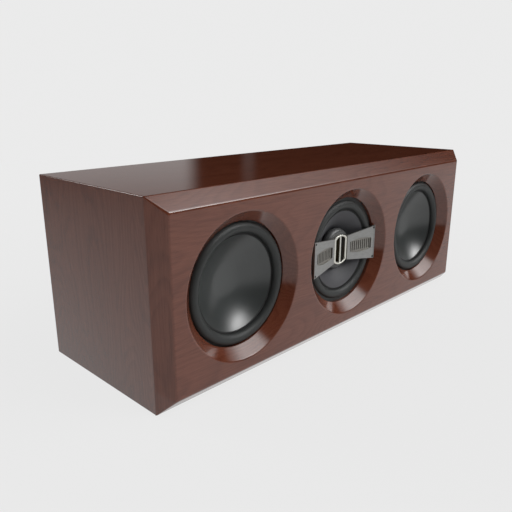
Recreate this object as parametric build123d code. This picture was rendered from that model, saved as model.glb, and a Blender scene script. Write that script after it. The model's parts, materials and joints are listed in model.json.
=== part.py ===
from build123d import *
import os
from dataclasses import dataclass
from math import hypot, sqrt

# Three-driver center channel loudspeaker, in millimetres.
# +Z is up, the front faces -Y and +X is to the right as seen from the front.
# The origin lies under the middle of the cabinet. Pieces are drawn with Y as the depth behind the
# front face of the baffle, and are moved back over the origin when they are written.

# Cabinet
cabinet_width = 608.0
cabinet_height = 220.0
cabinet_depth = 219.0
panel_thickness = 18.0
edge_round = 1.2
bevel = 15.0
bevel_land = 1.0
bevel_round = 2.0
baffle_thickness = 25.0
partition_thickness = 12.0
lead_hole_radius = 6.0
lead_hole_height = 46.0
lead_hole_setback = 36.0
wadding_thickness = 30.0
wadding_round = 8.0

# Flared driver openings in the baffle, as large as the flat wood kept around them allows
flare_end_land = 31.5
flare_gap = 25.0
flare_margin = 12.5
flare_width = 12.5
flare_depth = 12.5
flare_lip = 2.0
seat_depth = 16.5
seat_width = 12.5
rebate_clearance = 0.5

# Driver frame, the same for the three drivers
rim_thickness = 1.5
frame_setback = 0.1
flange_thickness = 4.5
basket_floor_radius = 50.0
basket_wall = 3.5
basket_floor_thickness = 4.0
basket_floor_hole = 24.0
window_count = 6
window_width = 31.0
window_margin = 2.5
spider_seat_depth = 48.0
spider_seat_width = 5.0
spider_radius = 45.5

# Motor
motor_depth = 58.0
pole_radius = 18.2
former_clearance = 0.5
former_wall = 0.3
winding_build = 0.7
winding_height = 14.0
former_tail = 2.0
gap_clearance = 0.6
plate_radius = 40.0
plate_thickness = 6.0
magnet_bore_radius = 25.0
magnet_radius = 45.0
magnet_thickness = 18.0
yoke_radius = 42.0
yoke_thickness = 6.0
plate_edge = 1.0

# Soft suspension and diaphragms
roll_thickness = 1.0
inner_ring_thickness = 1.0
cone_lip = 2.2
cone_lip_thickness = 0.9
cone_thickness = 1.1
ring_clearance = 0.6
cap_thickness = 0.7
spider_thickness = 0.6
spider_wave = 1.6
spider_waves = 3
spider_collar = 2.0

# Screws that hold each driver from behind
screw_edge = 4.5
screw_count = 6
screw_radius = 2.0
screw_clearance = 0.3
pilot_clearance = 0.05
screw_head_radius = 4.0
screw_head_height = 2.4
screw_head_clearance = 0.5
screw_tip_depth = 9.0

# Bow-tie bridge across the midrange
bridge_end_gap = 3.5
bridge_end_height = 23.2
bridge_end_depth = 7.5
bridge_waist_x = 14.4
bridge_waist_height = 16.6
bridge_waist_depth = 16.2
bridge_floor_x = 13.5
bridge_floor_depth = 18.7
bridge_thickness = 2.4
bridge_lip_depth = 4.0
bridge_lip_thickness = 1.6
bridge_screw_inset = 2.4
bridge_screw_drop = 2.6
bridge_boss_radius = 1.3
bridge_screw_radius = 0.8
bridge_head_radius = 1.5
bridge_head_height = 0.8
bridge_head_clearance = 0.2
pocket_inner_x = 19.5
pocket_end_margin = 6.5
pocket_end_height = 6.8
pocket_crown = 2.8
pocket_depth = 1.4
louvre_end = 2.0
louvre_pitch = 3.9
louvre_width = 1.5
louvre_margin = 0.3

# Tweeter carried in the middle of the bridge
bezel_half_width = 13.2
bezel_half_height = 19.9
bezel_side_height = 15.5
bezel_corner = 3.0
bezel_height = 2.0
bezel_edge = 0.7
bezel_side_rim = 3.2
bezel_end_rim = 2.1
bezel_bar_width = 2.4
bezel_bar_height = 1.4
ring_inset = 0.3
pod_radius = 27.2
pod_front_round = 5.4
pod_back_round = 6.0
pod_back_depth = 32.6
pod_wall = 1.4
pod_cell_width = 20.8
pod_cell_height = 35.6
pod_fit = 0.1
film_pleats = 11
film_pleat_height = 2.0
film_thickness = 0.3
film_margin = 1.2
tweeter_magnet_thickness = 5.0
tweeter_slot_count = 3
tweeter_slot_width = 1.6
tweeter_slot_pitch = 5.0
tweeter_slot_end = 4.0

# Connection recess at the back, with one pair of binding posts
cup_width = 100.0
cup_height = 64.0
cup_corner = 7.0
cup_flange = 3.0
tub_width = 84.0
tub_height = 48.0
tub_corner = 6.0
tub_depth = 30.0
tub_wall = 2.5
tub_floor = 3.0
cup_clearance = 0.2
cup_screw_x = 45.5
cup_screw_z = 27.5
cup_screw_radius = 1.5
cup_screw_head_radius = 3.0
cup_screw_length = 14.0
post_pitch = 19.05
post_radius = 3.0
post_bore_radius = 2.0
post_bore_length = 18.0
post_collar_radius = 6.4
post_collar_height = 2.5
post_top_gap = 3.0
post_tail = 8.0
post_hole_clearance = 0.1
nut_flats = 10.0
nut_height = 5.0
washer_radius = 6.2
washer_thickness = 1.2
washer_clearance = 0.3
knob_radius = 7.4
knob_length = 14.0
knob_chamfer = 1.0
knob_flute_count = 12
knob_flute_radius = 1.1
thread_clearance = 0.06

# Crossover on the cabinet floor behind the midrange
board_width = 130.0
board_depth = 78.0
board_thickness = 1.6
board_back_gap = 19.0
board_corner = 4.0
standoff_height = 6.0
standoff_radius = 3.5
standoff_inset = 6.0
bass_coil_radius = 21.0
bass_coil_bore = 9.5
bass_coil_height = 20.0
treble_coil_radius = 14.0
treble_coil_bore = 6.5
treble_coil_height = 14.0
coil_edge = 1.0
coil_gap = 6.0
capacitor_radius = 8.0
capacitor_length = 34.0
capacitor_count = 3
capacitor_pitch = 18.5
capacitor_edge = 1.0

# Inner leads
lead_radius = 1.8
lead_bend = 10.0
lead_gap = 0.3
lead_drop = 21.0


# What differs between the woofers and the midrange
woofer_rim = 1.5
woofer_roll_width = 12.0
woofer_roll_height = 6.8
woofer_neck_depth = 34.6
woofer_cone_bulge = 2.1
woofer_cap_radius = 20.5
woofer_cap_depth = 2.8
midrange_rim = 4.1
midrange_roll_width = 11.7
midrange_roll_height = 4.2
midrange_cap_clearance = 3.8394
midrange_cone_bulge = -2.2
midrange_cap_radius = 24.0
midrange_cap_depth = 3.0

# Sizes that follow from the ones above
driver_height = cabinet_height / 2
flare_radius = min((cabinet_width / 2 - flare_end_land - flare_gap) / 3, driver_height - bevel - flare_margin)
driver_pitch = cabinet_width / 2 - flare_end_land - flare_radius
throat_radius = flare_radius - flare_width
basket_radius = throat_radius + seat_width
screw_circle_radius = basket_radius - screw_edge
flange_front = seat_depth + rim_thickness
flange_back = flange_front + flange_thickness
rebate_radius = basket_radius + rebate_clearance
basket_shoulder_radius = screw_circle_radius - screw_head_radius - screw_head_clearance
panel_front = bevel + bevel_land
inner_width = cabinet_width - 2 * panel_thickness
inner_height = cabinet_height - 2 * panel_thickness
inner_back = cabinet_depth - panel_thickness
former_inner = pole_radius + former_clearance
former_outer = former_inner + former_wall
winding_outer = former_outer + winding_build
midrange_cone_radius = throat_radius - midrange_rim - midrange_roll_width - cone_lip
midrange_cap_seat = pod_back_depth + midrange_cap_clearance
midrange_cone_rate = (midrange_cap_seat - seat_depth) / (midrange_cone_radius - midrange_cap_radius)
midrange_neck_depth = seat_depth + midrange_cone_rate * (midrange_cone_radius - former_outer)
plate_bore = winding_outer + gap_clearance
plate_back = motor_depth + plate_thickness
magnet_back = plate_back + magnet_thickness
winding_start = motor_depth + (plate_thickness - winding_height) / 2
bridge_half_length = throat_radius - bridge_end_gap
bridge_screw_x = bridge_half_length - bridge_screw_inset
bridge_screw_z = bridge_end_height - bridge_screw_drop
pocket_outer_x = bridge_half_length - pocket_end_margin
louvre_first_x = pocket_inner_x + louvre_end
louvre_count = int((pocket_outer_x - louvre_end - louvre_first_x) / louvre_pitch) + 1
bridge_slope = (bridge_waist_depth - bridge_end_depth) / (bridge_half_length - bridge_waist_x)
bridge_back = bridge_floor_depth + bridge_thickness
bezel_front = bridge_floor_depth - bezel_height
screw_seat = bridge_end_depth + bridge_slope * (bridge_half_length - bridge_screw_x) + bridge_head_height
cell_front = bridge_back + pod_wall
film_back = cell_front + film_pleat_height + film_thickness
cell_back = film_back + tweeter_magnet_thickness
tub_front = cabinet_depth - tub_depth
tub_inside = tub_front + tub_floor
collar_back = tub_inside + post_collar_height
post_top = cabinet_depth - post_top_gap
washer_back = collar_back + washer_thickness
board_bottom = panel_thickness + standoff_height
board_top = board_bottom + board_thickness
board_front = inner_back - board_back_gap - board_depth
lead_hole_depth = board_front + lead_hole_setback


@dataclass
class Driver:
    """What differs from one driver to the next."""
    name: str
    x: float
    roll_outer: float
    roll_width: float
    roll_height: float
    neck_depth: float
    cone_bulge: float
    cap_radius: float
    cap_depth: float

    @property
    def roll_inner(self):
        return self.roll_outer - self.roll_width


def woofer(name, x):
    return Driver(name, x, throat_radius - woofer_rim, woofer_roll_width, woofer_roll_height,
                  woofer_neck_depth, woofer_cone_bulge, woofer_cap_radius, woofer_cap_depth)


midrange = Driver("midrange", 0.0, throat_radius - midrange_rim, midrange_roll_width, midrange_roll_height,
                  midrange_neck_depth, midrange_cone_bulge, midrange_cap_radius, midrange_cap_depth)
drivers = [woofer("left_woofer", -driver_pitch), midrange, woofer("right_woofer", driver_pitch)]


def outline(*points):
    """Closed face through straight corners."""
    return make_face(Polyline(*points, close=True))


def ring_profile(inner, outer, start, end):
    """Section of a plain ring: radius along X, depth along Y."""
    return outline((inner, start), (outer, start), (outer, end), (inner, end))


def turned(profile):
    """Solid of revolution about the depth axis."""
    return revolve(profile, Axis.Y)


def facing(sketch, start, end):
    """Solid of a sketch drawn as seen from the front, between two depths."""
    plane = Plane(origin=(0, end, 0), x_dir=(1, 0, 0), z_dir=(0, -1, 0))
    return plane * extrude(sketch, amount=end - start)


def block(x_range, depth_range, z_range):
    """Box between three pairs of limits."""
    size = [high - low for low, high in (x_range, depth_range, z_range)]
    middle = [(low + high) / 2 for low, high in (x_range, depth_range, z_range)]
    return Pos(*middle) * Box(*size)


def around(solid, count, first_angle=0.0):
    """Copies of a solid spread evenly about the depth axis."""
    step = 360.0 / count
    return [Rot(0, first_angle + step * k, 0) * solid for k in range(count)]


def placed(solid, driver):
    """Piece of a driver moved onto that driver's axis."""
    return Pos(driver.x, 0, driver_height) * solid


def barrel(half_width, half_height, side_height, corner):
    """Outline with straight sides and bowed ends, its corners rounded."""
    lines = [
        Line((-half_width, -side_height), (-half_width, side_height)),
        ThreePointArc((-half_width, side_height), (0, half_height), (half_width, side_height)),
        Line((half_width, side_height), (half_width, -side_height)),
        ThreePointArc((half_width, -side_height), (0, -half_height), (-half_width, -side_height)),
    ]
    face = make_face(lines)
    return fillet(face.vertices(), corner)


# Cabinet

def driver_opening():
    """What is cut from the baffle for one driver: flare, throat and the rebate behind them."""
    front = -1.0
    flare_rate = (flare_radius - throat_radius) / flare_depth
    profile = outline((0, front), (flare_radius - front * flare_rate, front), (throat_radius, flare_depth),
                      (throat_radius, seat_depth), (rebate_radius, seat_depth),
                      (rebate_radius, baffle_thickness - front), (0, baffle_thickness - front))
    pilot = Cylinder(screw_radius + pilot_clearance, seat_depth - screw_tip_depth, rotation=(90, 0, 0))
    pilot = Pos(screw_circle_radius, (seat_depth + screw_tip_depth) / 2, 0) * pilot
    return Part() + [turned(profile)] + around(pilot, screw_count)


def front_baffle():
    half = cabinet_width / 2
    slab = block((-half, half), (0, panel_front), (0, cabinet_height))
    slab = chamfer(slab.faces().sort_by(Axis.Y)[0].edges(), bevel)
    mitres = [edge for edge in slab.edges() if all(abs(part) > 0.1 for part in edge % 0.5)]
    slab = fillet(slab.faces().sort_by(Axis.Y)[0].edges() + mitres, bevel_round)
    tongue = block((-inner_width / 2, inner_width / 2), (panel_front, baffle_thickness),
                   (panel_thickness, cabinet_height - panel_thickness))
    body = slab + tongue
    for driver in drivers:
        body -= placed(driver_opening(), driver)
    front_face = body.faces().sort_by(Axis.Y)[0]
    lips = [wire.edges() for wire in front_face.inner_wires()]
    return fillet([edge for edges in lips for edge in edges], flare_lip)


def carcass_shape():
    """Outside of the four wrapped panels, with its long and rear edges softened."""
    half = cabinet_width / 2
    shape = block((-half, half), (panel_front, cabinet_depth), (0, cabinet_height))
    rear = shape.faces().sort_by(Axis.Y)[-1]
    return fillet(shape.edges().filter_by(Axis.Y) + rear.edges(), edge_round)


def mitred_panel(points):
    """One board of the carcass from its section, mitred at both long edges."""
    return facing(outline(*points), panel_front, cabinet_depth) & carcass_shape()


def carcass_panels():
    half = cabinet_width / 2
    inner = inner_width / 2
    top = cabinet_height
    low, high = panel_thickness, top - panel_thickness
    return {
        "top_panel": mitred_panel([(-half, top), (half, top), (inner, high), (-inner, high)]),
        "bottom_panel": mitred_panel([(-half, 0), (half, 0), (inner, low), (-inner, low)]),
        "left_panel": mitred_panel([(-half, 0), (-inner, low), (-inner, high), (-half, top)]),
        "right_panel": mitred_panel([(half, 0), (inner, low), (inner, high), (half, top)]),
    }


def rear_panel():
    body = block((-inner_width / 2, inner_width / 2), (inner_back, cabinet_depth),
                 (panel_thickness, cabinet_height - panel_thickness))
    hole = RectangleRounded(tub_width + 2 * cup_clearance, tub_height + 2 * cup_clearance, tub_corner)
    rebate = RectangleRounded(cup_width + 2 * cup_clearance, cup_height + 2 * cup_clearance, cup_corner)
    body -= at_cup(facing(hole, inner_back, cabinet_depth))
    body -= at_cup(facing(rebate, cabinet_depth - cup_flange, cabinet_depth))
    pilot = facing(Circle(cup_screw_radius + pilot_clearance), cabinet_depth - cup_screw_length,
                   cabinet_depth - cup_flange)
    return body - [at_cup(hole) for hole in cup_corners(pilot)]


def partition(side):
    middle = side * driver_pitch / 2
    half = partition_thickness / 2
    board = block((middle - half, middle + half), (baffle_thickness, inner_back),
                  (panel_thickness, cabinet_height - panel_thickness))
    hole = Cylinder(lead_hole_radius, 2 * partition_thickness, rotation=(0, 90, 0))
    return board - Pos(middle, lead_hole_depth, lead_hole_height) * hole


def side_wadding(side):
    near = driver_pitch / 2 + partition_thickness / 2
    limits = sorted((side * near, side * inner_width / 2))
    pad = block(limits, (inner_back - wadding_thickness, inner_back),
                (panel_thickness, cabinet_height - panel_thickness))
    return fillet(pad.faces().sort_by(Axis.Y)[0].edges(), wadding_round)


def centre_wadding():
    half = driver_pitch / 2 - partition_thickness / 2
    high = cabinet_height - panel_thickness
    pad = block((-half, half), (magnet_back + yoke_thickness + lead_bend, inner_back),
                (high - wadding_thickness, high))
    return fillet(pad.faces().sort_by(Axis.Z)[0].edges(), wadding_round)


# Drivers, each drawn about its own axis

def basket(driver):
    floor_front = motor_depth - basket_floor_thickness
    flange_inner = driver.roll_outer + frame_setback
    inner_shoulder = basket_shoulder_radius - basket_wall
    inner_floor = basket_floor_radius - basket_wall
    seat_inner = spider_radius - spider_seat_width
    rate = (inner_shoulder - inner_floor) / (floor_front - flange_back)
    seat_outer = inner_floor + rate * (floor_front - spider_seat_depth)
    profile = outline(
        (flange_inner, flange_front), (basket_radius, flange_front), (basket_radius, flange_back),
        (basket_shoulder_radius, flange_back), (basket_floor_radius, floor_front),
        (basket_floor_radius, motor_depth), (basket_floor_hole, motor_depth), (basket_floor_hole, floor_front),
        (seat_inner, floor_front), (seat_inner, spider_seat_depth), (seat_outer, spider_seat_depth),
        (inner_shoulder, flange_back), (flange_inner, flange_back))
    body = turned(profile)
    middle = (basket_floor_radius + basket_radius) / 2
    opening = facing(Pos(middle, 0) * Rectangle(2 * basket_shoulder_radius - middle, window_width),
                     flange_back + window_margin, spider_seat_depth - window_margin)
    body -= around(opening, window_count, 180.0 / window_count)
    hole = Cylinder(screw_radius + screw_clearance, 2 * flange_thickness, rotation=(90, 0, 0))
    body -= around(Pos(screw_circle_radius, flange_front, 0) * hole, screw_count)
    if driver is midrange:
        body -= bridge_corners(facing(Circle(bridge_screw_radius + pilot_clearance), flange_front, flange_back))
    return body


def top_plate():
    plate = turned(ring_profile(plate_bore, plate_radius, motor_depth, plate_back))
    return chamfer(plate.edges().filter_by(GeomType.CIRCLE).sort_by(SortBy.RADIUS)[-2:], plate_edge)


def magnet():
    ring = turned(ring_profile(magnet_bore_radius, magnet_radius, plate_back, magnet_back))
    return chamfer(ring.edges().filter_by(GeomType.CIRCLE).sort_by(SortBy.RADIUS)[-2:], plate_edge)


def yoke():
    back = magnet_back + yoke_thickness
    profile = outline((0, motor_depth), (pole_radius, motor_depth), (pole_radius, magnet_back),
                      (yoke_radius, magnet_back), (yoke_radius, back - plate_edge),
                      (yoke_radius - plate_edge, back), (0, back))
    return turned(profile)


def surround(driver):
    """Flat rim under the flange, half roll, and the ring that is glued behind the cone's lip."""
    ring_front = seat_depth + cone_lip_thickness
    ring_back = ring_front + inner_ring_thickness
    ring_inner = driver.roll_inner - cone_lip + ring_clearance
    middle = (driver.roll_inner + driver.roll_outer) / 2
    crest = seat_depth - driver.roll_height
    front = [(ring_inner, ring_front), (driver.roll_inner, ring_front)]
    rim = [(driver.roll_outer, seat_depth), (basket_radius, seat_depth), (basket_radius, flange_front),
           (driver.roll_outer - roll_thickness, flange_front)]
    back = [(driver.roll_inner + roll_thickness, ring_back), (ring_inner, ring_back)]
    edges = [
        Line(front[0], front[1]),
        ThreePointArc(front[1], (middle, crest), rim[0]),
        Polyline(*rim),
        ThreePointArc(rim[-1], (middle, crest + roll_thickness), back[0]),
        Polyline(*back, front[0]),
    ]
    body = turned(make_face([edge for line in edges for edge in line.edges()]))
    hole = Cylinder(screw_radius + screw_clearance, 4 * rim_thickness, rotation=(90, 0, 0))
    body -= around(Pos(screw_circle_radius, seat_depth, 0) * hole, screw_count)
    if driver is midrange:
        body -= bridge_corners(facing(Circle(bridge_screw_radius + pilot_clearance), seat_depth, flange_front))
    return body


def cone_line(driver, offset):
    """Bowed line from the cone's lip to its neck, moved back by an offset."""
    outer = (driver.roll_inner - cone_lip, seat_depth + offset)
    neck = (former_outer, driver.neck_depth + offset)
    length = hypot(outer[0] - neck[0], outer[1] - neck[1])
    across = ((neck[1] - outer[1]) / length, (outer[0] - neck[0]) / length)
    middle = tuple((outer[k] + neck[k]) / 2 + driver.cone_bulge * across[k] for k in range(2))
    return ThreePointArc(outer, middle, neck)


def cone(driver):
    """Dished diaphragm with a flat lip for the surround and a neck on the voice coil."""
    face_line = cone_line(driver, 0.0)
    back_line = cone_line(driver, cone_thickness)
    lip = driver.roll_inner - lead_gap
    lip_back = seat_depth + cone_lip_thickness
    corner = back_line @ 0
    edges = [
        face_line,
        Line(face_line @ 1, back_line @ 1),
        back_line,
        Polyline(corner, (corner.X + cone_thickness / 2, lip_back), (lip, lip_back), (lip, seat_depth),
                 face_line @ 0),
    ]
    return turned(make_face([edge for line in edges for edge in line.edges()]))


def cone_depth_at(driver, radius):
    """Depth of the cone's front face at a radius, from the circle that its line lies on."""
    line = cone_line(driver, 0.0)
    centre = line.arc_center
    reach = sqrt(line.radius ** 2 - (radius - centre.X) ** 2)
    return centre.Y + (reach if driver.cone_bulge > 0 else -reach)


def dust_cap(driver):
    """Inverted cap, dished a little deeper than the cone's own face."""
    rim = cone_depth_at(driver, driver.cap_radius) - cap_thickness
    deep = rim + driver.cap_depth
    profile = make_face([
        ThreePointArc((-driver.cap_radius, rim), (0, deep), (driver.cap_radius, rim)),
        Line((driver.cap_radius, rim), (driver.cap_radius, rim + cap_thickness)),
        ThreePointArc((driver.cap_radius, rim + cap_thickness), (0, deep + cap_thickness),
                      (-driver.cap_radius, rim + cap_thickness)),
        Line((-driver.cap_radius, rim + cap_thickness), (-driver.cap_radius, rim)),
    ])
    half = Pos(driver.cap_radius, deep) * Rectangle(2 * driver.cap_radius, 4 * driver.cap_radius)
    return turned(profile & half)


def voice_coil(driver):
    """Former tube with the winding bonded on it, centred in the magnet's gap."""
    winding_end = winding_start + winding_height
    tail = winding_end + former_tail
    head = driver.neck_depth + cone_thickness
    profile = outline((former_inner, head), (former_outer, head), (former_outer, winding_start),
                      (winding_outer, winding_start), (winding_outer, winding_end), (former_outer, winding_end),
                      (former_outer, tail), (former_inner, tail))
    return turned(profile)


def spider():
    """Corrugated disc between the former and the frame's inner seat."""
    back = spider_seat_depth
    inner = former_outer + lead_gap
    collar = inner + spider_collar
    seat = spider_radius - spider_seat_width
    count = 2 * spider_waves
    step = (seat - collar) / count
    crests = [(collar + step * k, back - spider_wave * (k % 2)) for k in range(count + 1)]
    lower = [(inner, back), *crests, (spider_radius, back)]
    upper = [(radius, depth - spider_thickness) for radius, depth in reversed(lower)]
    return turned(outline(*lower, *upper))


def driver_screw():
    head = turned(ring_profile(0, screw_head_radius, flange_back, flange_back + screw_head_height))
    head = fillet(head.faces().sort_by(Axis.Y)[-1].edges(), screw_head_height / 2)
    shank = turned(ring_profile(0, screw_radius, screw_tip_depth, flange_back))
    return Pos(screw_circle_radius, 0, 0) * (head + shank)


def driver_screws():
    return [placed(screw, driver) for driver in drivers for screw in around(driver_screw(), screw_count)]


# Bridge and tweeter, drawn about the midrange's axis

def bridge_corners(solid):
    """A solid copied to the bridge's four corner screws."""
    return [Pos(x, 0, z) * solid for x in (-bridge_screw_x, bridge_screw_x)
            for z in (-bridge_screw_z, bridge_screw_z)]


def bent_band(front, back, half_height):
    """Sheet bent back towards its middle, between two offsets from its front face."""
    line = [(bridge_half_length, bridge_end_depth), (bridge_waist_x, bridge_waist_depth),
            (bridge_floor_x, bridge_floor_depth)]
    right = [(x, depth + front) for x, depth in line] + [(x, depth + back) for x, depth in reversed(line)]
    left = [(-x, depth) for x, depth in right]
    floor = [(-bridge_floor_x, bridge_floor_depth + front), (bridge_floor_x, bridge_floor_depth + front),
             (bridge_floor_x, bridge_floor_depth + back), (-bridge_floor_x, bridge_floor_depth + back)]
    sheets = [extrude(outline(*points), amount=half_height, both=True) for points in (left, floor, right)]
    return Part() + sheets


def bow_tie():
    """Front outline of the bridge with the tweeter's ring in its middle."""
    half = [(bridge_half_length, bridge_end_height), (bridge_waist_x, bridge_waist_height)]
    top = half + [(-x, z) for x, z in reversed(half)]
    wings = outline(*top, *[(x, -z) for x, z in reversed(top)])
    ring = barrel(bezel_half_width - ring_inset, bezel_half_height - ring_inset, bezel_side_height,
                  bezel_corner)
    return wings + ring - tweeter_window()


def tweeter_window():
    rim = bezel_side_rim
    return barrel(bezel_half_width - rim, bezel_half_height - bezel_end_rim, bezel_side_height - rim / 2,
                  bezel_corner - bezel_edge)


def pocket_outline():
    """Barrel-shaped outline of the right-hand pocket."""
    low, high, end = pocket_inner_x, pocket_outer_x, pocket_end_height
    middle = (low + high) / 2
    return make_face([
        Line((low, -end), (low, end)),
        ThreePointArc((low, end), (middle, end + pocket_crown), (high, end)),
        Line((high, end), (high, -end)),
        ThreePointArc((high, -end), (middle, -end - pocket_crown), (low, -end)),
    ])


def louvre_slots():
    """Upright slots of one height through the floor of the right-hand pocket."""
    slot = Rectangle(louvre_width, 2 * (pocket_end_height - louvre_margin))
    return Sketch() + [Pos(louvre_first_x + louvre_pitch * k, 0) * slot for k in range(louvre_count)]


def bridge_plate():
    reach = 2 * bridge_end_height
    front = bridge_end_depth - bridge_thickness
    plate = bent_band(0.0, bridge_thickness, reach) & facing(bow_tie(), front, bridge_back + bridge_thickness)
    end = bridge_half_length
    lip_back = bridge_end_depth + bridge_lip_depth
    for side in (-1, 1):
        lip = sorted((side * end, side * (end - bridge_lip_thickness)))
        plate += block(lip, (bridge_end_depth, lip_back), (-bridge_end_height, bridge_end_height))
    plate += bridge_corners(facing(Circle(bridge_boss_radius), screw_seat, seat_depth))
    recess = bent_band(-bridge_thickness, pocket_depth, reach)
    pocket = facing(pocket_outline(), front, bridge_back) & recess
    slots = facing(louvre_slots(), front, bridge_back)
    for turn in (0, 180):
        plate -= Rot(0, turn, 0) * pocket
        plate -= Rot(0, turn, 0) * slots
    seat = facing(Circle(bridge_head_radius + bridge_head_clearance), front, screw_seat)
    hole = facing(Circle(bridge_screw_radius + pilot_clearance), front, seat_depth)
    return plate - bridge_corners(seat) - bridge_corners(hole)


def bridge_screws():
    head = facing(Circle(bridge_head_radius), screw_seat - bridge_head_height, screw_seat)
    shank = facing(Circle(bridge_screw_radius), screw_seat, flange_back)
    return [Pos(0, 0, driver_height) * screw for screw in bridge_corners(head + shank)]


def tweeter_bezel():
    """Oval rim with an upright bar across its window."""
    face = barrel(bezel_half_width, bezel_half_height, bezel_side_height, bezel_corner) - tweeter_window()
    rim = facing(face, bezel_front, bridge_floor_depth)
    rim = fillet(rim.faces().sort_by(Axis.Y)[0].edges(), bezel_edge)
    bar = facing(Rectangle(bezel_bar_width, 2 * bezel_half_height), bridge_floor_depth - bezel_bar_height,
                 bridge_floor_depth)
    inside = facing(tweeter_window(), bezel_front, bridge_floor_depth)
    return rim + (bar & inside)


def tweeter_housing():
    """Rounded pod behind the bridge, with a cell for the film and its magnet."""
    pod = turned(ring_profile(0, pod_radius, bridge_back, pod_back_depth))
    pod = fillet(pod.faces().sort_by(Axis.Y)[0].edges(), pod_front_round)
    pod = fillet(pod.faces().sort_by(Axis.Y)[-1].edges(), pod_back_round)
    pod -= facing(tweeter_window(), bridge_back, cell_front)
    return pod - facing(Rectangle(pod_cell_width, pod_cell_height), cell_front, cell_back)


def tweeter_magnet():
    """Slotted bar block behind the film."""
    body = facing(Rectangle(pod_cell_width - 2 * pod_fit, pod_cell_height - 2 * pod_fit), film_back, cell_back)
    slot = SlotOverall(pod_cell_height - 2 * tweeter_slot_end, tweeter_slot_width, rotation=90)
    middle = (tweeter_slot_count - 1) / 2
    slots = [Pos(tweeter_slot_pitch * (k - middle), 0) * slot for k in range(tweeter_slot_count)]
    return body - facing(Sketch() + slots, film_back, cell_back)


def tweeter_diaphragm():
    """Film folded into upright pleats, with a flat margin on each side."""
    half = pod_cell_width / 2 - pod_fit
    base = film_back
    count = 2 * film_pleats
    start = -half + film_margin
    step = 2 * (half - film_margin) / count
    folds = [(start + step * k, base - film_pleat_height * (k % 2)) for k in range(count + 1)]
    lower = [(-half, base), *folds, (half, base)]
    upper = [(x, depth - film_thickness) for x, depth in reversed(lower)]
    return extrude(outline(*lower, *upper), amount=pod_cell_height / 2 - pod_fit, both=True)


# Connection recess, drawn about the middle of the rear panel

def at_cup(solid):
    return Pos(0, 0, cabinet_height / 2) * solid


def cup_corners(solid):
    return [Pos(x, 0, z) * solid for x in (-cup_screw_x, cup_screw_x) for z in (-cup_screw_z, cup_screw_z)]


def screw_sink():
    """Countersink of the cup's screws: wide at the back face, down to the shank."""
    depth = cup_screw_head_radius - cup_screw_radius
    return turned(outline((0, cabinet_depth - depth), (cup_screw_radius, cabinet_depth - depth),
                          (cup_screw_head_radius, cabinet_depth), (0, cabinet_depth)))


def terminal_cup():
    flange = facing(RectangleRounded(cup_width, cup_height, cup_corner), cabinet_depth - cup_flange,
                    cabinet_depth)
    tub = facing(RectangleRounded(tub_width, tub_height, tub_corner), tub_front, cabinet_depth)
    inside = RectangleRounded(tub_width - 2 * tub_wall, tub_height - 2 * tub_wall, tub_corner - tub_wall)
    body = flange + tub - facing(inside, tub_inside, cabinet_depth)
    shank = facing(Circle(cup_screw_radius + pilot_clearance), cabinet_depth - cup_flange, cabinet_depth)
    body -= cup_corners(shank) + cup_corners(screw_sink())
    hole = facing(Circle(post_radius + post_hole_clearance), tub_front, tub_inside)
    return at_cup(body - [Pos(x, 0, 0) * hole for x in (-post_pitch / 2, post_pitch / 2)])


def cup_screws():
    shank = facing(Circle(cup_screw_radius), cabinet_depth - cup_screw_length, cabinet_depth - cup_flange / 2)
    return [at_cup(screw) for screw in cup_corners(screw_sink() + shank)]


def at_post(solid, side):
    return at_cup(Pos(side * post_pitch / 2, 0, 0) * solid)


def post_stud():
    """Threaded post with a collar, and a bore for a plug in its free end."""
    profile = outline(
        (0, tub_front - post_tail), (post_radius, tub_front - post_tail), (post_radius, tub_inside),
        (post_collar_radius, tub_inside), (post_collar_radius, collar_back), (post_radius, collar_back),
        (post_radius, post_top), (post_bore_radius, post_top), (post_bore_radius, post_top - post_bore_length),
        (0, post_top - post_bore_length))
    return turned(profile)


def post_nut():
    nut = facing(RegularPolygon(nut_flats / 2, 6, major_radius=False), tub_front - nut_height, tub_front)
    return nut - facing(Circle(post_radius + thread_clearance), tub_front - nut_height, tub_front)


def clamp_washer():
    return turned(ring_profile(post_radius + washer_clearance, washer_radius, collar_back, washer_back))


def thumb_knob():
    """Fluted thumb nut that runs on the post."""
    end = washer_back + knob_length
    knob = turned(outline((post_radius + thread_clearance, washer_back), (knob_radius, washer_back),
                          (knob_radius, end - knob_chamfer), (knob_radius - knob_chamfer, end),
                          (post_radius + thread_clearance, end)))
    flute = facing(Pos(knob_radius, 0) * Circle(knob_flute_radius), washer_back + knob_chamfer, end)
    return knob - around(flute, knob_flute_count)


# Crossover and inner leads

def crossover_board():
    half = board_width / 2
    board = block((-half, half), (board_front, board_front + board_depth), (board_bottom, board_top))
    return fillet(board.edges().filter_by(Axis.Z), board_corner)


def board_standoffs():
    x = board_width / 2 - standoff_inset
    depths = (board_front + standoff_inset, board_front + board_depth - standoff_inset)
    post = Cylinder(standoff_radius, standoff_height)
    middle = panel_thickness + standoff_height / 2
    return [Pos(side * x, depth, middle) * post for side in (-1, 1) for depth in depths]


def air_coil(radius, bore, height, x):
    """Air-core coil standing on the board."""
    ring = Cylinder(radius, height) - Cylinder(bore, height)
    ring = fillet(ring.edges().filter_by(GeomType.CIRCLE), coil_edge)
    return Pos(x, board_front + board_depth / 2, board_top + height / 2) * ring


def bass_inductor():
    x = -board_width / 2 + coil_gap + bass_coil_radius
    return air_coil(bass_coil_radius, bass_coil_bore, bass_coil_height, x)


def treble_inductor():
    x = -board_width / 2 + 2 * coil_gap + 2 * bass_coil_radius + treble_coil_radius
    return air_coil(treble_coil_radius, treble_coil_bore, treble_coil_height, x)


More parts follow.
